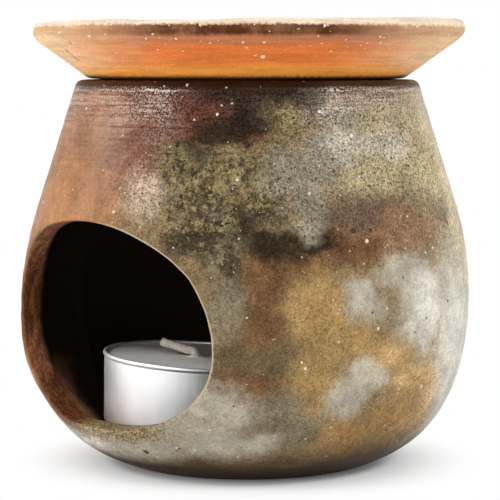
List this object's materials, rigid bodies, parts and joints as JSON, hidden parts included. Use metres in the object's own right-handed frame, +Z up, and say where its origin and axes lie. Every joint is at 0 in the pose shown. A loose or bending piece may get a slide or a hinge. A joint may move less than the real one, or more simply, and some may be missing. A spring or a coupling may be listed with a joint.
{
  "type": "tea incense burner",
  "caption": "Round wood-fired stoneware tea warmer: a bellied pot with an egg-shaped front opening for a tealight, and a loose shallow dish on its mouth that heats tea leaves.",
  "frame": {"origin": "centre of the pot's flat base, on the table", "axes": "+Z up along the pot's axis, front opening facing -Y, +X to the right seen from the front"},
  "size_m": [0.0894, 0.0879, 0.0885],
  "materials": {
    "stoneware": "semi-matte wood-fired ash over iron-red clay",
    "dish_stoneware": "semi-matte orange-brown flashed clay",
    "cup_foil": "satin pressed foil",
    "wax": "satin paraffin",
    "wick_cotton": "waxed braided cotton",
    "sustainer_tin": "pressed tinplate"
  },
  "bodies": {
    "burner": {"burner_body": "stoneware"},
    "dish": {"tea_dish": "dish_stoneware"},
    "tealight": {"tealight_cup": "cup_foil", "tealight_wax": "wax", "wick": "wick_cotton", "wick_sustainer": "sustainer_tin"}
  },
  "joints": [
    {"name": "dish_lift", "type": "slide", "parent": "burner", "child": "dish", "axis": [0, 0, 1], "range_m": [0, 0.05]},
    {"name": "tealight_out", "type": "slide", "parent": "burner", "child": "tealight", "axis": [0.3221, -0.8391, 0.4384], "range_m": [0, 0.075]}
  ]
}
